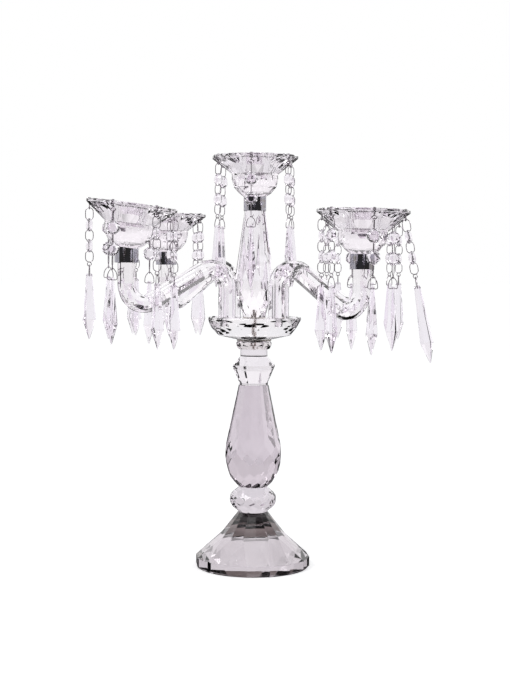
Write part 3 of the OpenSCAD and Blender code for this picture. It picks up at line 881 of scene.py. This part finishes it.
@dataclass
class CandleCup:
    """A bright collar and the cut cup that stands in it."""

    holder: Holder
    collar_r: float = 11.7
    tenon_bore_r: float = 7.75
    boss_bore_r: float = 8.85
    bore_depth: float = 6.25
    stud_r: float = 2.0
    stud_l: float = 5.15
    seat_gap: float = 0.03
    edge: float = 0.1

    def build(self, finishes: Finishes) -> None:
        """Builds the collar, the cup and its hooks.

        Args:
            finishes: The finishes.
        """
        name, body = self.holder.prefix, self.holder.body
        collar = rod_blank(self.collar_r, 0.0, self.holder.collar_h + 3, 64)
        bmesh.ops.transform(collar, matrix=self.holder.base(), verts=collar.verts)
        seat = self.holder.seat()
        facing = (seat.to_3x3() @ UP).normalized()
        slice_off(collar, seat.translation - facing * self.seat_gap, facing)
        mouth = step_end(collar, end_face(collar, facing), self.collar_r - self.boss_bore_r, -facing * self.bore_depth)
        step_end(collar, mouth, self.boss_bore_r - self.stud_r, facing * self.stud_l)
        step_end(collar, end_face(collar, -UP), self.collar_r - self.tenon_bore_r, UP * self.bore_depth)
        soften(collar, 0.15, 0.2, 2)
        finish_piece(f"{name}_collar_turned", collar, finishes.collar, body, Slot.COLLAR, f"{name}_collar")
        cup = open_node(f"{name}_cup")
        soften(cup, self.edge, 2.5)
        finish_piece(f"{name}_cup_cut", cup, finishes.crystal, body, Slot.CRYSTAL, f"{name}_cup")


@dataclass(frozen=True)
class WireLoop:
    """A closed loop of round wire, standing in the XZ plane, from its top down."""

    width: float
    height: float
    wire: float = 0.9
    steps: int = 20
    sides: int = 8

    def build(self, top: float, turn: float = 0.0) -> BMesh:
        """Bends the loop.

        Args:
            top: Depth of the wire's middle at the top of the loop.
            turn: Turn about the Z axis, in radians.

        Returns:
            The loop.
        """
        bend = self.width / 2
        bm = bmesh.new()
        bmesh.ops.create_circle(bm, cap_ends=False, segments=self.sides, radius=self.wire / 2,
                                matrix=Matrix.Translation((bend, 0, 0)))
        bmesh.ops.spin(bm, geom=bm.verts[:] + bm.edges[:], cent=(0, 0, 0), axis=(0, 1, 0), angle=2 * math.pi,
                       steps=self.steps, use_merge=True)
        bmesh.ops.remove_doubles(bm, verts=bm.verts, dist=1e-4)
        straight = (self.height - self.width) / 2
        for side in (1, -1):
            half = [vert for vert in bm.verts if vert.co.z * side > 0.01]
            bmesh.ops.translate(bm, vec=UP * straight * side, verts=half)
        bmesh.ops.translate(bm, vec=UP * (-top - self.height / 2), verts=bm.verts)
        bmesh.ops.rotate(bm, cent=(0, 0, 0), matrix=Matrix.Rotation(turn, 3, "Z"), verts=bm.verts)
        return bm


def bent_wire(outline: Sequence[tuple[float, float]], wire: float) -> BMesh:
    """Bends a closed loop of round wire along an outline in the YZ plane.

    Args:
        outline: The wire's middle, as points of Y and Z.
        wire: Its thickness.

    Returns:
        The loop.
    """
    curve = bpy.data.curves.new("bent_wire", "CURVE")
    curve.dimensions = "3D"
    curve.bevel_depth = wire / 2
    curve.bevel_resolution = 2
    curve.resolution_u = 3
    spline = curve.splines.new("BEZIER")
    spline.bezier_points.add(len(outline) - 1)
    spline.use_cyclic_u = True
    for point, (across, height) in zip(spline.bezier_points, outline):
        point.co = (0.0, across, height)
        point.handle_left_type = point.handle_right_type = "AUTO"
    bench = bpy.data.objects.new("bent_wire", curve)
    bm = bmesh.new()
    bm.from_mesh(bench.to_mesh())
    bench.to_mesh_clear()
    bpy.data.objects.remove(bench)
    bpy.data.curves.remove(curve)
    bmesh.ops.remove_doubles(bm, verts=bm.verts, dist=1e-4)
    return bm


def join(parts: Iterable[BMesh]) -> BMesh:
    """Puts meshes together in one, and frees them.

    Args:
        parts: The meshes.

    Returns:
        The whole.
    """
    whole = bmesh.new()
    for part in parts:
        held = bpy.data.meshes.new("held")
        part.to_mesh(held)
        part.free()
        whole.from_mesh(held)
        bpy.data.meshes.remove(held)
    return whole


@dataclass
class Hooks:
    """The six wire hooks through one cup's flange."""

    holder: Holder
    wire: float = 0.9
    eye_w: float = 5.5
    eye_h: float = 3.2
    head_r: float = 1.8
    head_t: float = 0.8

    def build(self, finishes: Finishes) -> None:
        """Builds the hooks as one piece.

        Args:
            finishes: The finishes.
        """
        parts = []
        head_z = 0.02 + self.head_r * math.sin(math.radians(self.holder.lean))
        eye_top = self.holder.hook_drop - self.eye_h
        for number in range(1, len(self.holder.turns) + 1):
            shank = rod_blank(self.wire / 2, -eye_top, head_z + 0.3, 10)
            head = turned(((0.15, 0.0), (self.head_r, 0.0), (self.head_r * 0.9, 0.35), (self.head_r * 0.5, 0.7), (0.15, self.head_t)), 16)
            bmesh.ops.translate(head, vec=UP * head_z, verts=head.verts)
            eye = WireLoop(self.eye_w, self.eye_h, self.wire).build(eye_top, math.pi / 2)
            hook = join((shank, head, eye))
            place = Matrix.Translation(self.holder.hook_top(number)) @ Matrix.Rotation(self.holder.hook_azimuth(number), 4, "Z")
            bmesh.ops.transform(hook, matrix=place, verts=hook.verts)
            parts.append(hook)
        name = f"{self.holder.prefix}_hooks"
        finish_piece(f"{name}_bent", join(parts), finishes.wire, self.holder.body, Slot.WIRE, name)


@dataclass
class Pendant:
    """One chained pendant: its wire links, two beads and spear."""

    holder: Holder
    number: int
    side_lean: float = 0.0
    swing: float = 0.0
    link_w: float = 7.5
    link_spans: tuple[tuple[float, float], ...] = ((9.1, 20.85), (30.15, 40.75), (50.05, 61.0))
    eye: tuple[float, float] = (61.0, 3.8)
    wire: float = 0.75
    bail: tuple[tuple[float, float], ...] = ((0.0, -63.6), (1.6, -64.3), (4.6, -72.4), (4.0, -74.0), (0.0, -74.0),
                                             (-4.0, -74.0), (-4.6, -72.4), (-1.6, -64.3))
    edge: float = 0.16
    glass_surface: float = 190.0

    def placement(self) -> Matrix:
        """Where the pendant hangs.

        Returns:
            The matrix from the chain's own axis, with z = 0 at the flange's top, to the frame.
        """
        drop = self.holder.hook_drop
        return (Matrix.Translation(self.holder.hook_top(self.number))
                @ Matrix.Rotation(self.holder.hook_azimuth(self.number), 4, "Z") @ Matrix.Translation((0, 0, -drop))
                @ Matrix.Rotation(math.radians(-self.swing), 4, "Y") @ Matrix.Rotation(math.radians(self.side_lean), 4, "X")
                @ Matrix.Rotation(math.radians(self.holder.turns[self.number - 1]), 4, "Z") @ Matrix.Translation((0, 0, drop)))

    def build(self, finishes: Finishes) -> None:
        """Builds the chain, the beads and the spear.

        Args:
            finishes: The finishes.
        """
        name = f"{self.holder.prefix}_pendant_{self.number}"
        loops = [WireLoop(self.link_w, low - high, self.wire).build(high) for high, low in self.link_spans]
        loops.append(WireLoop(self.eye[1], self.eye[1], self.wire).build(self.eye[0]))
        loops.append(bent_wire(self.bail, self.wire))
        chain = join(loops)
        bmesh.ops.transform(chain, matrix=self.placement(), verts=chain.verts)
        finish_piece(f"{name}_chain", chain, finishes.wire, name, Slot.WIRE, name)
        for label, wanted in (("upper_bead", 0), ("lower_bead", 1), ("spear", 2)):
            bm = open_node(name)
            glass = [group for group in islands(bm) if surface_of(group) > self.glass_surface]
            keep_only(bm, glass[wanted])
            soften(bm, self.edge, 1.2)
            made = finishes.spear if label == "spear" else finishes.bead
            finish_piece(f"{name}_{label}", bm, made, name, Slot.PENDANT, name)


@dataclass
class SwanNeckArm:
    """One drawn glass arm, from its peg in the dish to its spigot in the collar."""

    holder: Holder
    floor_z: float = 258.6
    rod_r: float = 8.9
    sides: int = 12
    arch_r: float = 21.0
    arch_rise: float = 30.4
    bend_r: float = 20.0
    bend_rise: float = 31.4
    stem_rise: float = 20.0
    peg_r: float = 3.95
    peg_l: float = 6.0
    tenon_r: float = 7.6
    tenon_l: float = 6.15
    end_gap: float = 0.02
    bend_steps: int = 40

    def build(self, finishes: Finishes) -> None:
        """Draws the rod along its path and cuts its ends.

        Args:
            finishes: The finishes.
        """
        arch = Vector((self.arch_r, 0, self.arch_rise))
        bend = Vector((self.holder.reach - self.bend_r, 0, self.bend_rise + self.holder.extra))
        apart = bend - arch
        span, both = apart.length, self.arch_r + self.bend_r
        slope = math.asin(both / span) - math.atan2(apart.z, apart.x)
        azimuth = math.radians(self.holder.azimuth)
        run = math.sqrt(span * span - both * both)
        bm = bmesh.new()
        bmesh.ops.create_circle(bm, cap_ends=True, segments=self.sides, radius=self.rod_r)
        bmesh.ops.rotate(bm, cent=(0, 0, 0), matrix=Matrix.Rotation(math.pi / self.sides, 3, "Z"), verts=bm.verts)
        base = bm.faces[:][0]
        base.normal_update()
        if base.normal.z < 0:
            base.normal_flip()
        top = self.pull(bm, base, UP * self.arch_rise, keep=True)
        top = self.swing(bm, top, arch, math.pi / 2 + slope)
        along = Vector((math.cos(slope), 0, -math.sin(slope)))
        top = self.pull(bm, top, along * run)
        top = self.swing(bm, top, bend, -(math.pi / 2 + slope))
        self.pull(bm, top, UP * (self.stem_rise - self.end_gap))
        bmesh.ops.rotate(bm, cent=(0, 0, 0), matrix=Matrix.Rotation(math.radians(self.holder.arm_turn), 3, "Z"), verts=bm.verts)
        bmesh.ops.translate(bm, vec=Vector((self.holder.leg_r, 0, self.floor_z)), verts=bm.verts)
        bmesh.ops.rotate(bm, cent=(0, 0, 0), matrix=Matrix.Rotation(azimuth, 3, "Z"), verts=bm.verts)
        flat_r = self.rod_r * math.cos(math.pi / self.sides)
        step_end(bm, end_face(bm, UP), flat_r - self.tenon_r, UP * self.tenon_l)
        step_end(bm, end_face(bm, -UP), flat_r - self.peg_r, -UP * self.peg_l)
        finish_piece(f"{self.holder.prefix}_drawn", bm, finishes.rod, self.holder.body, Slot.CRYSTAL, self.holder.prefix)

    def pull(self, bm: BMesh, end: BMFace, way: Vector, keep: bool = False) -> BMFace:
        """Extrudes the rod's end straight.

        Args:
            bm: The mesh.
            end: The end face.
            way: The direction and length.
            keep: Whether the old end stays as the rod's other end.

        Returns:
            The new end face.
        """
        new = bmesh.ops.extrude_face_region(bm, geom=[end], use_keep_orig=keep)["geom"]
        bmesh.ops.translate(bm, vec=way, verts=[item for item in new if isinstance(item, BMVert)])
        return next(item for item in new if isinstance(item, BMFace))

    def swing(self, bm: BMesh, end: BMFace, centre: Vector, angle: float) -> BMFace:
        """Bends the rod about a level axis.

        Args:
            bm: The mesh.
            end: The end face.
            centre: The bend's centre.
            angle: How far, in radians.

        Returns:
            The new end face.
        """
        last = bmesh.ops.spin(bm, geom=[end] + end.edges[:] + end.verts[:], cent=centre, axis=(0, 1, 0), angle=angle,
                              steps=self.bend_steps, use_merge=False)["geom_last"]
        return next(item for item in last if isinstance(item, BMFace))


@dataclass
class Candelabrum:
    """The whole object."""

    finishes: Finishes = field(default_factory=Finishes)
    holders: tuple[Holder, ...] = (
        Holder("centre", "stand", 0, -90, (5, -7, 8, 10, -7, 13), leg_r=0.0, reach=0.0, base_z=369.6),
        Holder("arm_1", "branch_1", -45, -15, (20, 30, -10, 20, 0, -10), lean=1.0, arm_turn=1.6),
        Holder("arm_2", "branch_2", 45, 75, (20, 50, -10, 20, 5, -10), extra=1.0),
        Holder("arm_3", "branch_3", 135, 165, (20, -40, 50, -15, 0, -10), extra=4.0),
        Holder("arm_4", "branch_4", 225, 255, (20, 40, -10, 20, -40, -8), extra=5.0, lean=7.2, arm_turn=-2.5),
    )
    centre_side_leans: tuple[float, ...] = (0.0, 2.0, -2.0, 0.0, 2.0, -2.0)
    outer_swing: float = 11.0

    def build(self) -> None:
        """Builds every sub-assembly from the foot up."""
        Stem().build(self.finishes)
        for cup, holder in enumerate(self.holders):
            if cup:
                SwanNeckArm(holder).build(self.finishes)
            CandleCup(holder).build(self.finishes)
            Hooks(holder).build(self.finishes)
            for number in range(1, len(holder.turns) + 1):
                lean = self.side_lean(cup, number)
                swing = self.outer_swing if (cup, number) == (1, 1) else 0.0
                Pendant(holder, number, lean, swing).build(self.finishes)

    def side_lean(self, cup: int, number: int) -> float:
        """How far a pendant rests to one side.

        Args:
            cup: The holder's number.
            number: The pendant's number.

        Returns:
            The lean in degrees.
        """
        if cup == 0:
            return self.centre_side_leans[number - 1]
        return 0.8 * math.sin(math.radians(211 * number + 97 * cup))


def main() -> None:
    """Builds the studio and the candelabrum."""
    logging.basicConfig(level=logging.INFO, format="%(message)s")
    Studio().build()
    Candelabrum().build()


if __name__ == "__main__":
    main()
